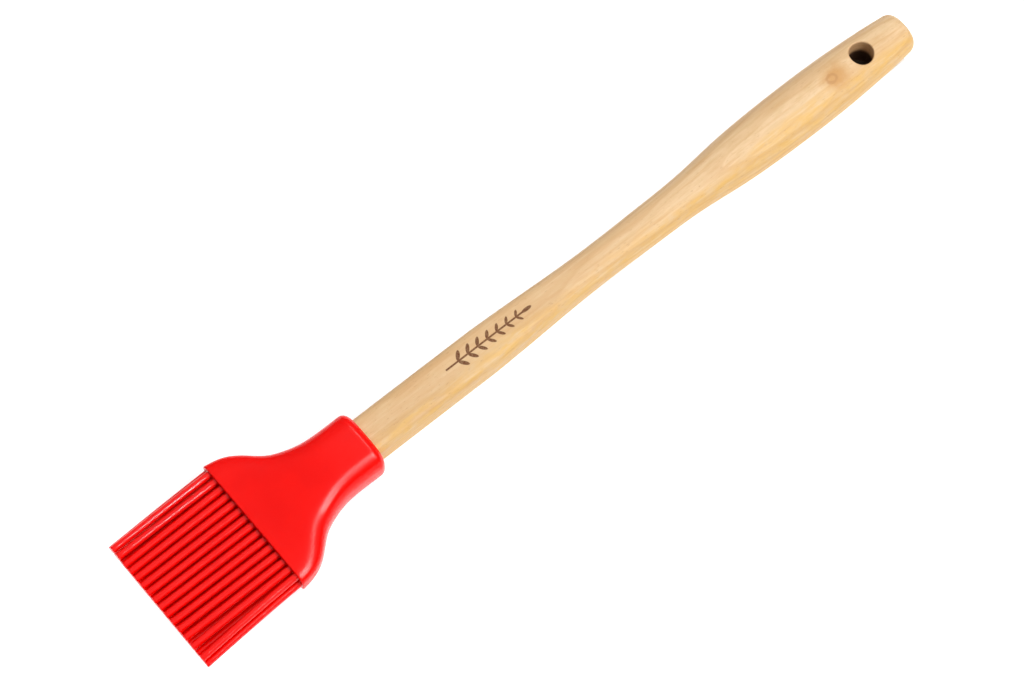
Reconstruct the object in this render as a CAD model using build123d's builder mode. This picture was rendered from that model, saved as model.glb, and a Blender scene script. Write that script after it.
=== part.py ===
from build123d import *

import os
from math import cos, pi, sin

# A pastry brush: a wooden handle, and a one-piece silicone head that pushes onto the handle's tenon.
# Frame: +Y runs along the brush towards the butt of the handle, X across it, +Z up.
# The origin is under the middle of the brush's length, on the surface that the brush lies on.
# Sizes are in millimetres. A station is a distance along the brush from the bristle tips.

# Overall proportions
overall_length = 304.4
axis_height = 8.6  # the brush's centre line, above the surface it lies on
bristle_length = 38.2
collar_length = 44.3

# Bristles: three rows, each set half a pitch across from its neighbours
row_sizes = [15, 16, 15]  # bristles in each row, from the top row down
bristle_pitch = 3.05  # centre to centre along a row
row_pitch = bristle_pitch * sin(pi / 3)  # so that a bristle's six neighbours are all one pitch away
root_diameter = 2.5
tip_diameter = 2.4
tip_rounding = 0.3
root_step = 0.35  # a bristle bends about a line this far in front of the collar's face
root_clearance = 0.1  # between a bristle's ball-shaped root and its dimple

# Tenon of the handle: half width, half thickness, and how square its section is
tenon_length = 34.0
tenon_end = (6.4, 4.9)
tenon_root = (7.1, 5.75)
tenon_squareness = 5.0
tenon_rounding = 1.0
socket_clearance = 0.1  # all round the tenon
socket_end_room = 0.6  # past the end of the tenon

# Roundings of the collar's two ends and of the handle's butt
neck_rounding = 2.6
mouth_rounding = 0.3
butt_rounding = 3.0

# Hanging hole through the grip
hole_diameter = 8.0
hole_to_butt = 18.7

# Stations that the rest follows from
mouth = bristle_length
neck = bristle_length + collar_length
tenon_tip = neck - tenon_length
shaft_end = 129.0  # the flat shaft of the handle starts to narrow here

# Collar, bell-shaped: station, half width, half thickness, squareness
collar_stations = [
    (mouth + mouth_rounding, 24.7, 5.6, 4.6),
    (42.2, 24.1, 5.8, 4.2),
    (46.7, 22.4, 6.25, 3.6),
    (50.7, 19.4, 6.75, 3.2),
    (54.7, 15.85, 7.25, 3.0),
    (59.3, 13.35, 7.75, 3.0),
    (65.3, 11.5, 8.25, 3.0),
    (72.3, 10.9, 8.5, 3.0),
    (neck - neck_rounding, 10.95, 8.68, 3.0),
]
collar_thickness = 2 * axis_height  # the neck is trimmed to this, which leaves a narrow flat above and below

# Grip: a flat shaft that turns into an oval waist, a fuller oval grip and a narrower butt
grip_stations = [
    (shaft_end, *tenon_root, tenon_squareness),
    (143.5, 6.75, 5.7, 4.0),
    (158.5, 6.3, 5.6, 3.1),
    (174.5, 6.05, 5.55, 2.5),
    (197.0, 6.35, 5.8, 2.3),
    (215.0, 6.95, 6.3, 2.2),
    (230.0, 8.4, 7.0, 2.2),
    (243.0, 9.1, 7.5, 2.2),
    (257.0, 9.35, 7.8, 2.2),
    (271.0, 9.25, 7.7, 2.2),
    (285.0, 8.65, 7.3, 2.2),
    (297.0, 7.75, 6.75, 2.2),
    (overall_length, 7.0, 6.15, 2.2),
]

section_points = 32  # around each cross-section
rounding_steps = 5  # cross-sections through each rounded end of the collar


def y_at(station):
    """Place on the Y axis of a station along the brush."""
    return station - overall_length / 2


def section(station, half_width, half_thickness, squareness):
    """Cross-section of the brush: an ellipse at squareness 2, nearer to a rectangle above it."""
    points = []
    for step in range(section_points):
        turn = 2 * pi * step / section_points
        across, up = cos(turn), sin(turn)
        reach = (abs(across) ** squareness + abs(up) ** squareness) ** (-1 / squareness)
        points.append((half_width * across * reach, half_thickness * up * reach))
    centre = (0, y_at(station), axis_height)
    with BuildSketch(Plane(origin=centre, x_dir=(1, 0, 0), z_dir=(0, -1, 0))) as outline:
        with BuildLine():
            Spline(*points, periodic=True)
        make_face()
    return outline.sketch


def rounded_end(start, radius, outward):
    """Sections that round off one end of the collar; outward is +1 at the neck and -1 at the mouth."""
    station, half_width, half_thickness, squareness = start
    sections = []
    for step in range(rounding_steps + 1):
        turn = pi / 2 * step / rounding_steps
        inset = radius * (1 - cos(turn))
        place = station + outward * radius * sin(turn)
        sections.append(section(place, half_width - inset, half_thickness - inset, squareness))
    return sections


def edges_at(builder, station):
    """The builder's edges that lie in the cross-section at a station."""
    return builder.edges().filter_by_position(Axis.Y, y_at(station) - 0.01, y_at(station) + 0.01)


def bristle_places(row):
    """Centre of each bristle's root in one row, counted from the top row down."""
    height = axis_height + row_pitch * ((len(row_sizes) - 1) / 2 - row)
    middle = (row_sizes[row] - 1) / 2
    return [(bristle_pitch * (i - middle), y_at(mouth) - root_step, height) for i in range(row_sizes[row])]


# Handle: tenon, flat shaft and grip in one piece of wood, with a hanging hole
with BuildPart() as handle:
    loft([section(tenon_tip, *tenon_end, tenon_squareness), section(neck, *tenon_root, tenon_squareness)])
    fillet(edges_at(handle, tenon_tip), tenon_rounding)
    loft([section(neck, *tenon_root, tenon_squareness), section(*grip_stations[0])])
    loft([section(*station) for station in grip_stations])
    fillet(edges_at(handle, overall_length), butt_rounding)
    with Locations((0, y_at(overall_length - hole_to_butt), axis_height)):
        Cylinder(hole_diameter / 2, 4 * axis_height, mode=Mode.SUBTRACT)

# Head: a collar with a socket for the tenon, and a dimple in its face for the root of each bristle
with BuildPart() as head_collar:
    loft([section(*station) for station in collar_stations])
    loft(rounded_end(collar_stations[-1], neck_rounding, 1))
    loft(rounded_end(collar_stations[0], mouth_rounding, -1))
    with Locations((0, 0, axis_height)):
        Box(overall_length, overall_length, collar_thickness, mode=Mode.INTERSECT)
    socket_tip = [half + socket_clearance for half in tenon_end]
    socket_neck = [half + socket_clearance for half in tenon_root]
    loft(
        [
            section(tenon_tip - socket_end_room, *socket_tip, tenon_squareness),
            section(neck, *socket_neck, tenon_squareness),
        ],
        mode=Mode.SUBTRACT,
    )
    for row in range(len(row_sizes)):
        with Locations(*bristle_places(row)):
            Sphere(root_diameter / 2 + root_clearance, mode=Mode.SUBTRACT)

# One bristle, lying along -Y from the centre of its ball-shaped root to its blunt tip
tip_y = root_step - bristle_length
with BuildPart() as bristle:
    with BuildSketch():
        with BuildLine():
            flat_tip = Line((0, tip_y), (tip_diameter / 2 - tip_rounding, tip_y))
            tip_edge = RadiusArc(flat_tip @ 1, (tip_diameter / 2, tip_y + tip_rounding), -tip_rounding)
            side = Line(tip_edge @ 1, (root_diameter / 2, 0))
            ball = RadiusArc(side @ 1, (0, root_diameter / 2), -root_diameter / 2)
            Line(ball @ 1, flat_tip @ 0)
        make_face()
    revolve(axis=Axis.Y)

handle.part.label = "handle"
head_collar.part.label = "head_collar"
pieces = [handle.part, head_collar.part]

# Rows of bristles, each a group of separate solids that bend together
for row in range(len(row_sizes)):
    with BuildPart() as bristle_row:
        with Locations(*bristle_places(row)):
            add(bristle.part)
    bristle_row.part.label = f"bristle_row_{row + 1}"
    pieces.append(bristle_row.part)

os.makedirs("parts", exist_ok=True)
for piece in pieces:
    export_step(piece, f"parts/{piece.label}.step")
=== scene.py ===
from math import cos, pi, radians, sin

import bpy
import numpy as np
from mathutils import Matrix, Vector


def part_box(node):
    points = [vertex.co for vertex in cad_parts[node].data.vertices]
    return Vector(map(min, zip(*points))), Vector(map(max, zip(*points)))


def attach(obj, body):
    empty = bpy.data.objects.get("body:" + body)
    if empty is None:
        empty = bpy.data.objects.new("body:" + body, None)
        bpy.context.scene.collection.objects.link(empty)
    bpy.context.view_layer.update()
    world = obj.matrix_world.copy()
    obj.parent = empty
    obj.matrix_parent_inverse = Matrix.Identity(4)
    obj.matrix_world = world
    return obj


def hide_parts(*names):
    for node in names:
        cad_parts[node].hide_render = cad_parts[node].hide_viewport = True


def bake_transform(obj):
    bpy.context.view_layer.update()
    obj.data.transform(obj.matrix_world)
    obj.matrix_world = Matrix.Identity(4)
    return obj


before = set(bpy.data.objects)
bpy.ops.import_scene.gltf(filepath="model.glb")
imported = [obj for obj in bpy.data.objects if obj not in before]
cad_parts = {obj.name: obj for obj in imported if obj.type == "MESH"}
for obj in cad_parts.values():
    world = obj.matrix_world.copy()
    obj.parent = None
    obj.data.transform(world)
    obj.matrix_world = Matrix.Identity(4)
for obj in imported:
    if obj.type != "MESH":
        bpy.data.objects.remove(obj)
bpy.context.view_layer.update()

# A pastry brush: a pale wooden handle and a one-piece red silicone head with three rows of bristles.
# The frame is the CAD model's: +Y towards the butt of the handle, X across, +Z up, in metres.
# Sizes below are in millimetres. A station is a distance along the brush from the bristle tips.
mm = 0.001
rng = np.random.default_rng(7)

# Sizes that the rest follows from, taken from the frame
tips_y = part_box("bristle_row_2")[0].y
mouth = (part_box("head_collar")[0].y - tips_y) / mm
neck = (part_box("head_collar")[1].y - tips_y) / mm
tenon_tip = (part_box("handle")[0].y - tips_y) / mm
butt = (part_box("handle")[1].y - tips_y) / mm
axis_height = (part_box("bristle_row_2")[0].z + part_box("bristle_row_2")[1].z) / 2 / mm

# Handle: station, half width, half thickness, squareness
tenon_tip_section = (6.4, 4.9, 5.0)
shaft_section = (7.1, 5.75, 5.0)
shaft_end = 129.0
grip_stations = [
    (shaft_end, *shaft_section),
    (143.5, 6.75, 5.7, 4.0),
    (158.5, 6.3, 5.6, 3.1),
    (174.5, 6.05, 5.55, 2.5),
    (197.0, 6.35, 5.8, 2.3),
    (215.0, 6.95, 6.3, 2.2),
    (230.0, 8.4, 7.0, 2.2),
    (243.0, 9.1, 7.5, 2.2),
    (257.0, 9.35, 7.8, 2.2),
    (271.0, 9.25, 7.7, 2.2),
    (285.0, 8.65, 7.3, 2.2),
    (297.0, 7.75, 6.75, 2.2),
    (butt, 7.0, 6.15, 2.2),
]
tenon_rounding = 1.0
butt_rounding = 3.0
hole_radius = 4.0
hole_to_butt = 18.7
hole_station = butt - hole_to_butt
hole_edge_rounding = 0.45

# Collar: station, half width, half thickness, squareness
mouth_rounding = 0.3
neck_rounding = 2.6
collar_stations = [
    (mouth + mouth_rounding, 24.7, 5.6, 4.6),
    (42.2, 24.1, 5.8, 4.2),
    (46.7, 22.4, 6.25, 3.6),
    (50.7, 19.4, 6.75, 3.2),
    (54.7, 15.85, 7.25, 3.0),
    (59.3, 13.35, 7.75, 3.0),
    (65.3, 11.5, 8.25, 3.0),
    (72.3, 10.9, 8.5, 3.0),
    (neck - neck_rounding, 10.95, 8.6, 3.0),
]
socket_clearance = 0.1
socket_end_room = 0.6
parting_line = 0.06  # how far the mould's parting line stands out along the two sides
parting_line_spread = 0.16  # and how far it reaches above and below the middle

# Bristles
row_sizes = [15, 16, 15]
bristle_pitch = 3.05
root_radius = 1.25
tip_radius = 1.2
tip_rounding = 0.3
root_flare = 0.3
root_depth = 0.6  # how far each bristle runs on into the collar
row_shortening = 0.35  # each row is this much shorter than the one above it
raised_tips = [1.6, 1.5]  # the first bristles of the top row stand up this much at their tips
splay = (1.0, 2.3)  # how far the outermost tips stand out, towards +X, at the -X side and at the +X side
splay_starts = (-0.1, 0.7)  # where across a row that begins, as a share of its half width
stray = 0.09  # random spread of every tip

# Figure of the wood, and the burnt sprig on its shaft
knot_x = 1.0
knot_station = 272.2
knot_radius = 2.2
ring_spacing = 1.6
pith_x, pith_z = -6.0, -38.0  # the growth rings' centre line, from the brush's axis
sprig_x = -0.6
sprig_start = 119.0
leaf_spacing = 3.8
leaf_pairs = 7
sprig_length = leaf_pairs * leaf_spacing
leaf_lean = 52  # degrees from the stem to a leaf
leaf_shrink = 0.055  # each pair of leaves is smaller by this share of the first

# Camera, lamps and floor. Azimuth 0 is -Y and 90 is +X.
camera_azimuth, camera_elevation = 50.34, 68.0
camera_aim = (0.5, -11.7, 0)
camera_distance = 1205
camera_lens = 135.0
lamp_distance = 1300
# The floor's glow is painted light that washes out the brush's shadow
floor_glow_beside = 0.42  # strength of the floor's glow next to the sides of the brush
floor_glow_at_tips = 0.85
floor_glow_away = 0.12


# Shapes -----------------------------------------------------------------------------------------

def smooth_through(knots, values, where):
    """Natural cubic spline through values at knots, one column per quantity, read at the places where."""
    knots, values = np.array(knots, float), np.array(values, float)
    gaps = np.diff(knots)
    slopes = np.diff(values, axis=0) / gaps[:, None]
    count = len(knots)
    matrix = np.eye(count)
    right = np.zeros_like(values)
    for i in range(1, count - 1):
        matrix[i, i - 1:i + 2] = gaps[i - 1], 2 * (gaps[i - 1] + gaps[i]), gaps[i]
        right[i] = 6 * (slopes[i] - slopes[i - 1])
    bend = np.linalg.solve(matrix, right)
    where = np.clip(where, knots[0], knots[-1])
    i = np.clip(np.searchsorted(knots, where) - 1, 0, count - 2)
    gap, past = gaps[i][:, None], (where - knots[i])[:, None]
    start = slopes[i] - gap * (2 * bend[i] + bend[i + 1]) / 6
    return values[i] + past * (start + past * (bend[i] / 2 + past * (bend[i + 1] - bend[i]) / (6 * gap)))


def profile_at(stations, where):
    """(half width, half thickness, squareness) at each station in where."""
    return smooth_through([s[0] for s in stations], [s[1:] for s in stations], np.array(where, float))


def outline(half_width, half_thickness, squareness, count):
    """Points (x, z) of a cross-section: an ellipse at squareness 2, nearer to a rectangle above it."""
    turn = 2 * pi * np.arange(count) / count
    across, up = np.cos(turn), np.sin(turn)
    reach = (np.abs(across) ** squareness + np.abs(up) ** squareness) ** (-1 / squareness)
    return np.stack([half_width * across * reach, half_thickness * up * reach], axis=1)


def ring(station, half_width, half_thickness, squareness, count):
    """A cross-section's points in space, in millimetres, with the brush's axis as z 0."""
    flat = outline(half_width, half_thickness, squareness, count)
    return np.column_stack([flat[:, 0], np.full(count, station), flat[:, 1]])


def quarter_round(radius, steps):
    """(inset, advance) pairs along a quarter circle, from its start to its end."""
    turns = pi / 2 * np.arange(1, steps + 1) / steps
    return [(radius * (1 - cos(turn)), radius * sin(turn)) for turn in turns]


class Surface:
    """Collects points and faces, in millimetres from the bristle tips, and makes a mesh piece of them."""

    def __init__(self):
        self.points = []
        self.faces = []

    def add_loop(self, points):
        first = len(self.points)
        self.points.extend(tuple(p) for p in points)
        return list(range(first, first + len(points)))

    def bridge(self, one, other):
        """Quads between two closed loops with equal numbers of points."""
        count = len(one)
        for i in range(count):
            j = (i + 1) % count
            self.faces.append((one[i], one[j], other[j], other[i]))

    def bridge_all(self, loops):
        for one, other in zip(loops, loops[1:]):
            self.bridge(one, other)

    def close(self, loop, point, towards_start):
        """A fan of triangles from a loop to one point at the end of the surface."""
        tip = self.add_loop([point])[0]
        count = len(loop)
        for i in range(count):
            j = (i + 1) % count
            self.faces.append((loop[j], loop[i], tip) if towards_start else (loop[i], loop[j], tip))

    def piece(self, name):
        points = np.array(self.points) * mm + np.array([0, tips_y, axis_height * mm])
        mesh = bpy.data.meshes.new(name)
        mesh.from_pydata([tuple(p) for p in points], [], self.faces)
        mesh.validate()
        mesh.shade_smooth()
        made = bpy.data.objects.new(name, mesh)
        bpy.context.scene.collection.objects.link(made)
        return made


# Handle -----------------------------------------------------------------------------------------

around = 96
patch_columns = 12  # the hole's patch reaches this many columns to each side of the top line
patch_rings = 7  # and this many rings to each side of the hole's middle
ring_gap = 1.0
least_gap = 0.3  # a ring nearer than this to a rounded end is left out


def handle_section(station):
    """(half width, half thickness, squareness) of the handle at a station."""
    if station <= neck:
        share = (station - tenon_tip) / (neck - tenon_tip)
        return tuple(a + (b - a) * share for a, b in zip(tenon_tip_section, shaft_section))
    if station <= shaft_end:
        return shaft_section
    return tuple(profile_at(grip_stations, [station])[0])


def handle_stations():
    """Stations of the handle's rings between its two rounded ends, with one at the hole's middle."""
    low, high = tenon_tip + tenon_rounding, butt - butt_rounding
    first = hole_station - ring_gap * int((hole_station - low) / ring_gap)
    inner = np.arange(first, high, ring_gap)
    inner = inner[(inner > low + least_gap) & (inner < high - least_gap)]
    return [low, *inner, high]


def handle_height(x, station):
    """Height of the handle's upper surface above its axis."""
    half_width, half_thickness, squareness = handle_section(station)
    return half_thickness * (1 - abs(x / half_width) ** squareness) ** (1 / squareness)


def hole_loops(surface, rims, centre_ring):
    """Joins the edges of the patches left open above and below with a sleeve through the hanging hole."""
    # Ring and column of each point round a patch's edge, anticlockwise as seen from above
    places = [(centre_ring - patch_rings, k) for k in range(-patch_columns, patch_columns)]
    places += [(centre_ring + r, patch_columns) for r in range(-patch_rings, patch_rings)]
    places += [(centre_ring + patch_rings, -k) for k in range(-patch_columns, patch_columns)]
    places += [(centre_ring - r, -patch_columns) for r in range(-patch_rings, patch_rings)]
    top = [rims[i][around // 4 - k] for i, k in places]
    below = [rims[i][3 * around // 4 + k] for i, k in places]
    start = np.array([surface.points[i] for i in top])[:, :2]
    offset = start - [0, hole_station]
    heading = offset / np.linalg.norm(offset, axis=1)[:, None]
    edge = [0, hole_station] + heading * (hole_radius + hole_edge_rounding)

    def on_surface(flat, drop):
        return [(x, y, handle_height(x, y) - drop) for x, y in flat]

    upper = []
    for share in (0.3, 0.55, 0.75, 0.9, 1.0):
        upper.append(on_surface(start + (edge - start) * share, 0))
    rim_height = np.array([p[2] for p in upper[-1]])
    for drop, inset in quarter_round(hole_edge_rounding, 5):
        flat = edge - heading * inset
        upper.append(np.column_stack([flat, rim_height - drop]))
    wall_top = np.array(upper[-1])
    wall = []
    for share in np.linspace(0, 1, 10)[1:-1]:
        wall.append(wall_top * [1, 1, 1 - 2 * share])
    lower = [np.array(points) * [1, 1, -1] for points in reversed(upper)]
    sleeve = [top] + [surface.add_loop(points) for points in [*upper, *wall, *lower]] + [below]
    surface.bridge_all(sleeve[::-1])


def make_handle():
    """One closed surface from the tenon's end to the butt, with a sleeve through it for the hole."""
    surface = Surface()
    stations = handle_stations()
    rings = []
    start = handle_section(tenon_tip)
    for inset, advance in reversed(quarter_round(tenon_rounding, 6)):
        grown = (start[0] - inset, start[1] - inset, start[2])
        rings.append(ring(tenon_tip + tenon_rounding - advance, *grown, around))
    first_station = len(rings)
    rings += [ring(station, *handle_section(station), around) for station in stations]
    end = handle_section(butt)
    for inset, advance in quarter_round(butt_rounding, 10):
        station = butt - butt_rounding + advance
        wide = handle_section(station)
        rings.append(ring(station, wide[0] - inset, wide[1] - inset, end[2], around))
    inner_ends = []
    for points, place in ((rings[0], tenon_tip), (rings[-1], butt)):
        inner_ends.append([points * [share, 0, share] + [0, place, 0] for share in (0.85, 0.6, 0.3)])
    rings = [*reversed(inner_ends[0]), *rings, *inner_ends[1]]
    first_station += len(inner_ends[0])
    loops = [surface.add_loop(points) for points in rings]
    centre = first_station + int(np.argmin(np.abs(np.array(stations) - hole_station)))
    for i in range(len(loops) - 1):
        inside = centre - patch_rings <= i < centre + patch_rings
        for j in range(around):
            from_top = (j - around // 4 + patch_columns) % around < 2 * patch_columns
            from_below = (j - 3 * around // 4 + patch_columns) % around < 2 * patch_columns
            if not (inside and (from_top or from_below)):
                k = (j + 1) % around
                surface.faces.append((loops[i][j], loops[i][k], loops[i + 1][k], loops[i + 1][j]))
    surface.close(loops[0], (0, tenon_tip, 0), True)
    surface.close(loops[-1], (0, butt, 0), False)
    hole_loops(surface, loops, centre)
    return surface.piece("wood_handle")


# Collar -----------------------------------------------------------------------------------------

collar_around = 160


def collar_ring(station, half_width, half_thickness, squareness):
    """A cross-section of the collar with the faint parting line of its mould on the two sides."""
    points = ring(station, half_width, half_thickness, squareness, collar_around)
    ridge = parting_line * np.exp(-(points[:, 2] / parting_line_spread) ** 2)
    points[:, 0] += np.sign(points[:, 0]) * ridge
    return points


def make_collar():
    """One closed surface: out from the middle of the face, along the outside, and down into the socket."""
    surface = Surface()
    start, end = collar_stations[0], collar_stations[-1]
    rings = []
    face = (start[1] - mouth_rounding, start[2] - mouth_rounding, start[3])
    for share in (0.25, 0.5, 0.75, 0.93):
        rings.append(ring(mouth, face[0] * share, face[1] * share, face[2], collar_around))
    for inset, advance in reversed(quarter_round(mouth_rounding, 5)):
        rings.append(collar_ring(start[0] - advance, start[1] - inset, start[2] - inset, start[3]))
    places = np.linspace(start[0], end[0], 64)
    for station, section in zip(places, profile_at(collar_stations, places)):
        rings.append(collar_ring(station, *section))
    for inset, advance in quarter_round(neck_rounding, 12):
        rings.append(ring(end[0] + advance, end[1] - inset, end[2] - inset, end[3], collar_around))
    socket_mouth = [half + socket_clearance for half in shaft_section[:2]]
    socket_end = [half + socket_clearance for half in tenon_tip_section[:2]]
    square = shaft_section[2]
    for depth, spread in ((0, 0.12), (0.04, 0.035), (0.12, 0)):
        rings.append(ring(neck - depth, *(half + spread for half in socket_mouth), square, collar_around))
    end_station = tenon_tip - socket_end_room
    for share in np.linspace(0, 1, 14)[1:]:
        station = neck + (end_station - neck) * share
        half = [a + (b - a) * share for a, b in zip(socket_mouth, socket_end)]
        rings.append(ring(station, *half, square, collar_around))
    for share in (0.8, 0.4):
        rings.append(ring(end_station, *(half * share for half in socket_end), square, collar_around))
    loops = [surface.add_loop(points) for points in rings]
    surface.bridge_all(loops)
    surface.close(loops[0], (0, mouth, 0), True)
    surface.close(loops[-1], (0, end_station, 0), False)
    return surface.piece("silicone_collar")


# Bristles ---------------------------------------------------------------------------------------

bristle_around = 24


def bristle_profile(length):
    """(distance in front of the collar's face, radius) from the root to the tip of a bristle."""
    profile = [(-root_depth, root_radius), (0, root_radius + root_flare)]
    for inset, advance in quarter_round(root_flare, 4):
        profile.append((inset, root_radius + root_flare - advance))
    for share in np.linspace(0, 1, 18)[1:]:
        reach = root_flare + (length - tip_rounding - root_flare) * share
        profile.append((reach, root_radius + (tip_radius - root_radius) * share))
    for inset, advance in quarter_round(tip_rounding, 4):
        profile.append((length - tip_rounding + advance, tip_radius - inset))
    profile.append((length, tip_radius * 0.35))
    return profile


def bristle_lean(row, i, place):
    """Sideways and upward shift of a bristle's tip; place runs from -1 at the -X side to 1 at +X."""
    at_minus = max(0.0, (splay_starts[0] - place) / (1 + splay_starts[0]))
    at_plus = max(0.0, (place - splay_starts[1]) / (1 - splay_starts[1]))
    sideways = splay[0] * at_minus ** 1.5 + splay[1] * at_plus ** 1.5
    sideways += rng.normal(0, stray)
    upward = rng.normal(0, stray)
    if row == 0 and i < len(raised_tips):
        upward += raised_tips[i]
    return sideways, upward


def make_bristles(row):
    """One piece with all the bristles of a row, counted from the top row down."""
    surface = Surface()
    low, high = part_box(f"bristle_row_{row + 1}")
    height = (low.z + high.z) / 2 / mm - axis_height
    turns = 2 * pi * np.arange(bristle_around) / bristle_around
    half = (row_sizes[row] - 1) / 2
    length = mouth - row_shortening * row
    profile = bristle_profile(length)
    for i in range(row_sizes[row]):
        root_x = bristle_pitch * (i - half)
        sideways, upward = bristle_lean(row, i, (i - half) / half)
        loops = []
        for reach, radius in profile:
            share = max(0.0, reach / mouth)
            x = root_x + sideways * share ** 1.25 + radius * np.cos(turns)
            z = height + upward * share + radius * np.sin(turns)
            points = np.column_stack([x, np.full(bristle_around, mouth - reach), z])
            loops.append(surface.add_loop(points[::-1]))
        surface.bridge_all(loops)
        surface.close(loops[0], (root_x, mouth + root_depth, height), True)
        surface.close(loops[-1], (root_x + sideways, mouth - length, height + upward), False)
    return surface.piece(f"silicone_bristles_{row + 1}")


# Materials --------------------------------------------------------------------------------------

class Nodes:
    """Adds nodes to a material's tree. An input is a number, a colour or the output of another node."""

    def __init__(self, tree):
        self.tree = tree

    def join(self, value, node, socket):
        if isinstance(value, Outputs):
            value = value.first
        if isinstance(value, bpy.types.NodeSocket):
            self.tree.links.new(value, node.inputs[socket])
        else:
            node.inputs[socket].default_value = value

    def add(self, kind, output=0, settings=(), **inputs):
        """A new node's outputs, whose first is the one named by output."""
        node = self.tree.nodes.new(kind)
        for name, value in dict(settings).items():
            setattr(node, name, value)
        for name, value in inputs.items():
            self.join(value, node, name.replace("_", " "))
        return Outputs(node, output)

    def math(self, operation, *values):
        node = self.tree.nodes.new("ShaderNodeMath")
        node.operation = operation
        for i, value in enumerate(values):
            self.join(value, node, i)
        return Outputs(node, 0)

    def product(self, *values):
        result = values[0]
        for value in values[1:]:
            result = self.math("MULTIPLY", result, value)
        return result

    def absolute(self, value):
        return self.math("ABSOLUTE", value)

    def squares(self, one, two):
        """Sum of the squares of two numbers, which may be negative."""
        return self.math("ADD", *(self.math("POWER", self.absolute(side), 2.0) for side in (one, two)))

    def distance(self, one, two):
        return self.math("SQRT", self.squares(one, two))

    def vector(self, operation, *values):
        node = self.tree.nodes.new("ShaderNodeVectorMath")
        node.operation = operation
        for i, value in enumerate(values):
            self.join(value, node, "Scale" if operation == "SCALE" and i == 1 else i)
        return Outputs(node, 0)

    def ramp(self, value, start, end, low=0.0, high=1.0):
        """Smoothly from low at start to high at end."""
        node = self.tree.nodes.new("ShaderNodeMapRange")
        node.interpolation_type = "SMOOTHSTEP"
        sockets = ("Value", "From Min", "From Max", "To Min", "To Max")
        for socket, given in zip(sockets, (value, start, end, low, high)):
            self.join(given, node, socket)
        return Outputs(node, 0)

    def mix(self, factor, one, other):
        """Mixes two colours. Inputs 0, 6 and 7 and output 2 of this node belong to colours."""
        node = self.tree.nodes.new("ShaderNodeMix")
        node.data_type = "RGBA"
        for socket, given in ((0, factor), (6, one), (7, other)):
            self.join((*given, 1) if isinstance(given, tuple) and len(given) == 3 else given, node, socket)
        return Outputs(node, 2)

    def noise(self, vector, scale, detail=2.0, roughness=0.5):
        return self.add("ShaderNodeTexNoise", Vector=vector, Scale=scale, Detail=detail, Roughness=roughness)


class Outputs:
    """A node's outputs by name, and the one that is used where none is named."""

    def __init__(self, node, output):
        self.node = node
        self.first = node.outputs[output]

    def __getitem__(self, name):
        return self.node.outputs[name]


def new_material(name):
    """A material with one Principled shader, and what adds nodes to it."""
    material = bpy.data.materials.new(name)
    material.use_nodes = True
    tree = material.node_tree
    tree.nodes.clear()
    shader = tree.nodes.new("ShaderNodeBsdfPrincipled")
    output = tree.nodes.new("ShaderNodeOutputMaterial")
    tree.links.new(shader.outputs["BSDF"], output.inputs["Surface"])
    return material, Nodes(tree), shader


def place_in_mm(nodes):
    """(x, station, height above the axis) of the point shaded, in millimetres, moving with its piece."""
    place = nodes.add("ShaderNodeTexCoord", "Object")
    place = nodes.vector("SUBTRACT", place, (0, tips_y, axis_height * mm))
    return nodes.vector("SCALE", place, 1 / mm)


def set_bump(nodes, shader, height, depth, strength):
    """Relief of a depth in millimetres, for a height from 0 to 1."""
    bump = nodes.add("ShaderNodeBump", Height=height, Strength=strength, Distance=depth * mm)
    nodes.join(bump, shader, "Normal")


def make_silicone(name, smoothest, specular_level, relief_depth, translucent_depth):
    """Glossy moulded silicone: a deep even red with slight clouding, and a faint texture from the mould."""
    material, nodes, shader = new_material(name)
    place = place_in_mm(nodes)
    clouds = nodes.ramp(nodes.noise(place, 0.09, detail=3), 0.35, 0.65)
    colour = nodes.mix(clouds, (0.79, 0.0016, 0.0005), (0.82, 0.0024, 0.0008))
    mould = nodes.noise(place, 5.5, detail=3, roughness=0.6)
    orange_peel = nodes.noise(place, 1.1, detail=1)
    handling = nodes.ramp(nodes.noise(place, 0.35, detail=4, roughness=0.6), 0.4, 0.7)
    roughness = nodes.math("MULTIPLY_ADD", handling, 0.03, smoothest)
    roughness = nodes.math("MULTIPLY_ADD", mould, 0.06, roughness)
    nodes.join(colour, shader, "Base Color")
    nodes.join(roughness, shader, "Roughness")
    shader.inputs["Specular IOR Level"].default_value = specular_level
    shader.inputs["Subsurface Weight"].default_value = 0.8
    shader.inputs["Subsurface Radius"].default_value = (1.0, 0.12, 0.06)
    shader.inputs["Subsurface Scale"].default_value = translucent_depth * mm
    relief = nodes.math("MULTIPLY_ADD", orange_peel, 0.6, nodes.math("MULTIPLY", mould, 0.4))
    set_bump(nodes, shader, relief, relief_depth, 0.25)
    return material


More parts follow.
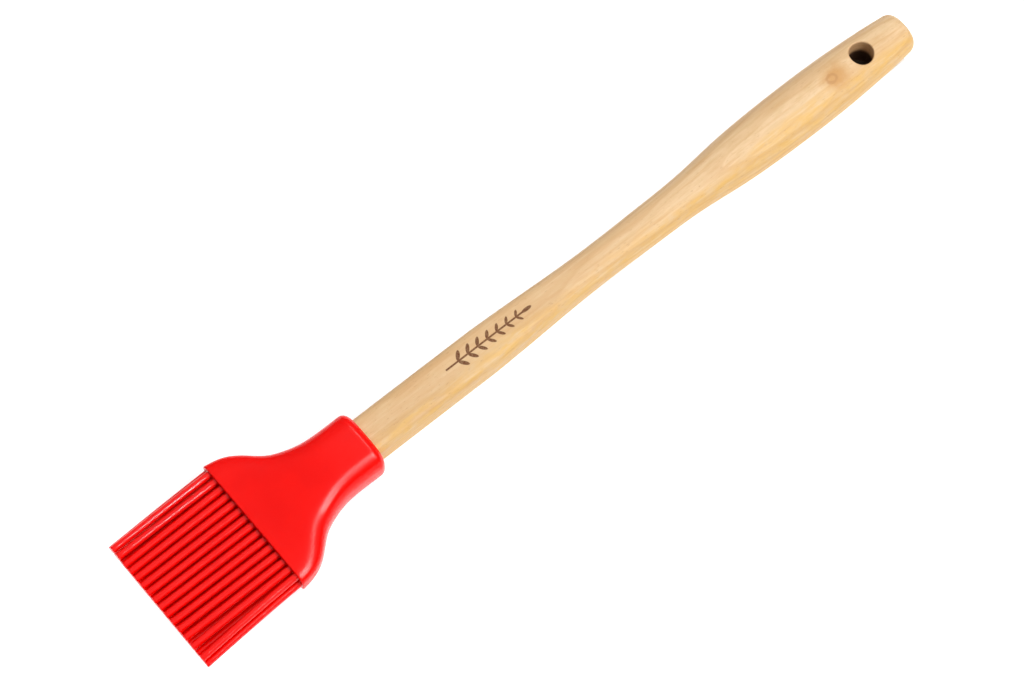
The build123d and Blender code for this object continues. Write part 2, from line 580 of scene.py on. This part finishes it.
def sprig_mask(nodes, part):
    """1 inside a small burnt sprig of paired leaves on the top of the shaft, 0 outside it."""
    from_stem = nodes.absolute(nodes.math("SUBTRACT", part["X"], sprig_x))
    along = nodes.math("SUBTRACT", part["Y"], sprig_start)
    pair = nodes.math("FLOOR", nodes.math("DIVIDE", along, leaf_spacing))
    shrink = nodes.math("MULTIPLY_ADD", pair, -leaf_shrink, 1.0)
    in_pair = nodes.math("SUBTRACT", along, nodes.math("MULTIPLY", pair, leaf_spacing))
    out = nodes.math("SUBTRACT", nodes.math("DIVIDE", from_stem, shrink), 1.55)
    up = nodes.math("DIVIDE", nodes.math("SUBTRACT", in_pair, leaf_spacing / 2), shrink)
    lean = radians(leaf_lean)
    length = nodes.math("MULTIPLY_ADD", out, sin(lean), nodes.math("MULTIPLY", up, cos(lean)))
    breadth = nodes.math("MULTIPLY_ADD", out, cos(lean), nodes.math("MULTIPLY", up, -sin(lean)))
    leaves = ellipse(nodes, length, breadth, 1.8, 0.66)
    after_start = nodes.ramp(along, -0.01, 0)
    before_end = nodes.ramp(along, sprig_length, sprig_length - 0.01)
    leaves = nodes.product(leaves, after_start, before_end)
    bud = ellipse(nodes, nodes.math("SUBTRACT", along, sprig_length + 1.6), from_stem, 1.9, 0.62)
    stem = nodes.product(
        nodes.ramp(from_stem, 0.4, 0.22),
        nodes.ramp(along, -4.2, -4.0),
        nodes.ramp(along, sprig_length + 1, sprig_length + 0.5),
    )
    mark = nodes.math("MAXIMUM", nodes.math("MAXIMUM", leaves, bud), stem)
    return nodes.math("MULTIPLY", mark, nodes.ramp(part["Z"], 4.0, 4.5))


def ellipse(nodes, along, across, half_length, half_breadth):
    """1 inside an ellipse, 0 outside it."""
    one = nodes.math("DIVIDE", along, half_length)
    two = nodes.math("DIVIDE", across, half_breadth)
    return nodes.ramp(nodes.squares(one, two), 1.25, 0.8)


wood_colours = {
    "body": (0.625, 0.400, 0.205),
    # painted highlight along the middle of the grip
    "pale grip": (0.705, 0.500, 0.290),
    # painted light on the +X side
    "golden side": (0.665, 0.405, 0.125),
    "mottle": (0.640, 0.440, 0.235),
    "dark streak": (0.560, 0.315, 0.125),
    "pale streak": (0.730, 0.550, 0.340),
    "late wood": (0.520, 0.290, 0.115),
    "fibre": (0.520, 0.320, 0.150),
    "fleck": (0.400, 0.210, 0.085),
    "knot halo": (0.520, 0.270, 0.085),
    "knot rim": (0.420, 0.200, 0.068),
    "end grain": (0.420, 0.240, 0.110),
    "hole wall": (0.420, 0.200, 0.080),
    # painted shade inside the hanging hole
    "hole depth": (0.030, 0.008, 0.002),
    "burnt": (0.125, 0.040, 0.012),
}


def make_wood():
    """Pale close-grained wood with faint growth rings, fibres, short flecks, one knot and a burnt sprig."""
    material, nodes, shader = new_material("pale_wood")
    place = place_in_mm(nodes)
    part = nodes.add("ShaderNodeSeparateXYZ", Vector=place)

    # The knot, at the end of a branch that rises to the top of the grip. The grain parts round it.
    beside = nodes.math("SUBTRACT", part["X"], knot_x)
    along = nodes.math("MULTIPLY", nodes.math("SUBTRACT", part["Y"], knot_station), 0.8)
    near = nodes.distance(beside, along)
    upper = nodes.ramp(part["Z"], -1, 3)
    reach = nodes.math("DIVIDE", knot_radius, nodes.math("MAXIMUM", near, knot_radius))
    grain_x = nodes.math("SUBTRACT", part["X"], nodes.product(beside, reach, reach, upper))

    # Growth rings about a line well below the brush, wandering a little along its length
    drift = nodes.noise(nodes.vector("MULTIPLY", place, (0.05, 0.014, 0.05)), 1.0, detail=2)
    from_pith_x = nodes.math("SUBTRACT", grain_x, pith_x)
    from_pith_z = nodes.math("SUBTRACT", part["Z"], pith_z)
    radius = nodes.math("MULTIPLY_ADD", drift, 5.0, nodes.distance(from_pith_x, from_pith_z))
    phase = nodes.math("FRACT", nodes.math("DIVIDE", radius, ring_spacing))
    late = nodes.product(nodes.ramp(phase, 0.35, 0.93), nodes.ramp(phase, 1.0, 0.93))

    # Fibres, streaks and flecks run lengthwise
    fibres = nodes.noise(nodes.vector("MULTIPLY", place, (7.0, 0.22, 7.0)), 1.0, detail=4, roughness=0.65)
    streaks = nodes.noise(nodes.vector("MULTIPLY", place, (0.95, 0.045, 0.95)), 1.0, detail=4, roughness=0.6)
    flecks = nodes.noise(nodes.vector("MULTIPLY", place, (3.4, 0.6, 3.4)), 1.0, detail=1)
    flecks = nodes.ramp(flecks, 0.66, 0.76)
    patches = nodes.noise(nodes.vector("MULTIPLY", place, (0.16, 0.035, 0.16)), 1.0, detail=3)
    mottle = nodes.noise(nodes.vector("MULTIPLY", place, (0.5, 0.16, 0.5)), 1.0, detail=3, roughness=0.6)

    # Painted light: a paler, pinker highlight along the middle of the grip, and golden colour towards the +X
    # side, where the light comes from
    golden = nodes.ramp(nodes.math("MULTIPLY_ADD", patches, 7.0, part["X"]), 4.5, 9.0)
    pale = nodes.ramp(nodes.math("MULTIPLY_ADD", patches, 60.0, part["Y"]), 190, 260)
    pale = nodes.product(pale, nodes.ramp(nodes.absolute(part["X"]), 7.0, 1.5))
    colour = nodes.mix(pale, wood_colours["body"], wood_colours["pale grip"])
    colour = nodes.mix(golden, colour, wood_colours["golden side"])
    colour = nodes.mix(nodes.ramp(mottle, 0.35, 0.75), colour, wood_colours["mottle"])
    colour = nodes.mix(nodes.ramp(streaks, 0.48, 0.75, 0.0, 0.6), colour, wood_colours["dark streak"])
    colour = nodes.mix(nodes.ramp(streaks, 0.48, 0.25, 0.0, 0.5), colour, wood_colours["pale streak"])
    colour = nodes.mix(nodes.product(late, 0.32), colour, wood_colours["late wood"])
    colour = nodes.mix(nodes.ramp(fibres, 0.35, 0.8, 0.0, 0.3), colour, wood_colours["fibre"])
    colour = nodes.mix(nodes.product(flecks, 0.45), colour, wood_colours["fleck"])

    # Knot: an orange-brown halo and a ring round a paler heart
    wobble = nodes.math("MULTIPLY_ADD", nodes.noise(place, 0.8, detail=2), 0.9, near)
    smudge = nodes.distance(beside, nodes.math("SUBTRACT", along, 1.3))
    smudge = nodes.math("MULTIPLY_ADD", nodes.noise(place, 0.6, detail=3), 2.4, smudge)
    halo = nodes.product(nodes.ramp(smudge, 7.2, 2.4, 0.0, 0.9), upper)
    rim = nodes.product(nodes.ramp(wobble, 1.1, 1.6), nodes.ramp(wobble, 2.5, 1.9), upper, 0.55)
    colour = nodes.mix(halo, colour, wood_colours["knot halo"])
    colour = nodes.mix(rim, colour, wood_colours["knot rim"])

    # End grain at the butt. Painted shade on the wall of the hanging hole, near black deeper inside it
    end_grain = nodes.ramp(part["Y"], butt - 0.9, butt - 0.1, 0.0, 0.5)
    colour = nodes.mix(end_grain, colour, wood_colours["end grain"])
    from_hole = nodes.distance(part["X"], nodes.math("SUBTRACT", part["Y"], hole_station))
    in_hole = nodes.ramp(from_hole, hole_radius + hole_edge_rounding + 0.05, hole_radius + 0.05)
    deep = nodes.product(in_hole, nodes.ramp(part["Z"], 2.5, -0.5), nodes.ramp(part["Z"], -7.4, -7.0))
    colour = nodes.mix(nodes.product(in_hole, 0.35), colour, wood_colours["hole wall"])
    colour = nodes.mix(nodes.product(deep, 0.95), colour, wood_colours["hole depth"])

    burnt = sprig_mask(nodes, part)
    singe = nodes.ramp(nodes.noise(place, 2.2, detail=3), 0.3, 0.7, 0.8, 1.0)
    colour = nodes.mix(nodes.product(burnt, singe), colour, wood_colours["burnt"])
    nodes.join(colour, shader, "Base Color")

    roughness = nodes.ramp(fibres, 0.2, 0.8, 0.40, 0.56)
    roughness = nodes.math("MULTIPLY_ADD", flecks, 0.12, roughness)
    nodes.join(nodes.math("MULTIPLY_ADD", burnt, 0.2, roughness), shader, "Roughness")
    shader.inputs["Specular IOR Level"].default_value = 0.3
    relief = nodes.math("MULTIPLY_ADD", flecks, -0.5, nodes.math("MULTIPLY_ADD", fibres, 0.6, 0.5))
    relief = nodes.math("MULTIPLY_ADD", late, 0.15, relief)
    set_bump(nodes, shader, nodes.math("MULTIPLY_ADD", burnt, -0.9, relief), 0.07, 0.45)
    return material


# Pieces -----------------------------------------------------------------------------------------

handle = make_handle()
handle.data.materials.append(make_wood())
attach(handle, "handle")
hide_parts("handle")

collar = make_collar()
collar_silicone = make_silicone(
    "red_silicone", smoothest=0.17, specular_level=0.21, relief_depth=0.02, translucent_depth=1.5
)
collar.data.materials.append(collar_silicone)
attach(collar, "head")
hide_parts("head_collar")

bristle_silicone = make_silicone(
    "red_silicone_bristles", smoothest=0.08, specular_level=0.42, relief_depth=0.005, translucent_depth=3.0
)
for row in range(len(row_sizes)):
    node = f"bristle_row_{row + 1}"
    bristles = make_bristles(row)
    bristles.data.materials.append(bristle_silicone)
    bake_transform(bristles)
    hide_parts(node)


# Floor, light and camera ------------------------------------------------------------------------

def direction(azimuth, elevation):
    """Unit vector towards a place round the object: azimuth 0 is -Y and 90 is +X."""
    turn, rise = radians(azimuth), radians(elevation)
    return Vector((sin(turn) * cos(rise), -cos(turn) * cos(rise), sin(rise)))


def look_from(placed, aim, azimuth, elevation, distance):
    """Puts a lamp or a camera at a distance in millimetres from its aim, and turns it to face it."""
    placed.location = aim + direction(azimuth, elevation) * (distance * mm)
    placed.rotation_euler = (aim - placed.location).to_track_quat("-Z", "Y").to_euler()
    bpy.context.scene.collection.objects.link(placed)


def softbox(name, azimuth, elevation, width, length, power):
    """A rectangular lamp aimed at the brush's middle; width is its level side, in metres."""
    lamp = bpy.data.lights.new(name, "AREA")
    lamp.shape = "RECTANGLE"
    lamp.size = width
    lamp.size_y = length
    lamp.energy = power
    placed = bpy.data.objects.new(name, lamp)
    look_from(placed, Vector((0, 0, axis_height * mm)), azimuth, elevation, lamp_distance)


def make_floor(half_size):
    """A plain pale floor that glows a little round the brush, painted light so that the brush casts hardly
    any shadow on it.
    """
    mesh = bpy.data.meshes.new("floor")
    corners = [(x * half_size, y * half_size, 0) for x, y in ((-1, -1), (1, -1), (1, 1), (-1, 1))]
    mesh.from_pydata(corners, [], [(0, 1, 2, 3)])
    floor = bpy.data.objects.new("floor", mesh)
    bpy.context.scene.collection.objects.link(floor)
    material, nodes, shader = new_material("white_floor")
    shader.inputs["Roughness"].default_value = 0.9
    shader.inputs["Specular IOR Level"].default_value = 0
    shader.inputs["Emission Color"].default_value = (1, 1, 1, 1)
    place = place_in_mm(nodes)
    part = nodes.add("ShaderNodeSeparateXYZ", Vector=place)
    handle_half_width = nodes.ramp(part["Y"], 205, 240, shaft_section[0], 9.2)
    half_width = nodes.ramp(part["Y"], 64, 44, handle_half_width, collar_stations[0][1])
    beside = nodes.math("SUBTRACT", nodes.absolute(part["X"]), half_width)
    before_tips = nodes.product(part["Y"], -1.0)
    past_butt = nodes.math("SUBTRACT", part["Y"], butt)
    away = nodes.math("MAXIMUM", beside, nodes.math("MAXIMUM", before_tips, past_butt))
    # Painted light: the floor glows next to the brush and past its tips, to wash out its shadow
    near = nodes.ramp(part["Y"], 25, 0, floor_glow_beside, floor_glow_at_tips)
    painted_floor_glow = nodes.product(nodes.ramp(away, -3.6, -2.6), nodes.ramp(away, 6, 45, near, floor_glow_away))
    nodes.join(painted_floor_glow, shader, "Emission Strength")

    # A painted contact shadow: the floor's colour is dark under the grip, where it shows through the hanging
    # hole
    painted_shadow = nodes.product(
        nodes.ramp(part["Y"], 215, 275),
        nodes.ramp(part["Y"], butt - 4, butt - 11),
        nodes.ramp(nodes.absolute(part["X"]), 6.4, 4.6),
    )
    nodes.join(nodes.mix(painted_shadow, (0.86, 0.86, 0.86), (0.07, 0.06, 0.05)), shader, "Base Color")
    mesh.materials.append(material)


def make_world(horizon, overhead):
    """White surroundings, brighter overhead than at the horizon."""
    world = bpy.data.worlds.new("studio")
    world.use_nodes = True
    background = world.node_tree.nodes["Background"]
    background.inputs["Color"].default_value = (1, 1, 1, 1)
    nodes = Nodes(world.node_tree)
    heading = nodes.add("ShaderNodeSeparateXYZ", Vector=nodes.add("ShaderNodeTexCoord", "Generated"))
    nodes.join(nodes.ramp(heading["Z"], 0.0, 0.8, horizon, overhead), background, "Strength")
    bpy.context.scene.world = world


def make_camera():
    camera = bpy.data.cameras.new("camera")
    camera.lens = camera_lens
    camera.sensor_width = 36.0
    placed = bpy.data.objects.new("camera", camera)
    look_from(placed, Vector(camera_aim) * mm, camera_azimuth, camera_elevation, camera_distance)
    bpy.context.scene.camera = placed


make_floor(half_size=3.0)
make_world(horizon=0.15, overhead=0.55)
softbox("key_light", azimuth=113, elevation=51.5, width=0.13, length=0.75, power=8.0)
softbox("fill_light", azimuth=180, elevation=70, width=1.75, length=0.25, power=10.0)
softbox("streak_light", azimuth=104, elevation=50.5, width=0.03, length=0.6, power=1.3)
make_camera()
bpy.context.scene.view_settings.view_transform = "Standard"
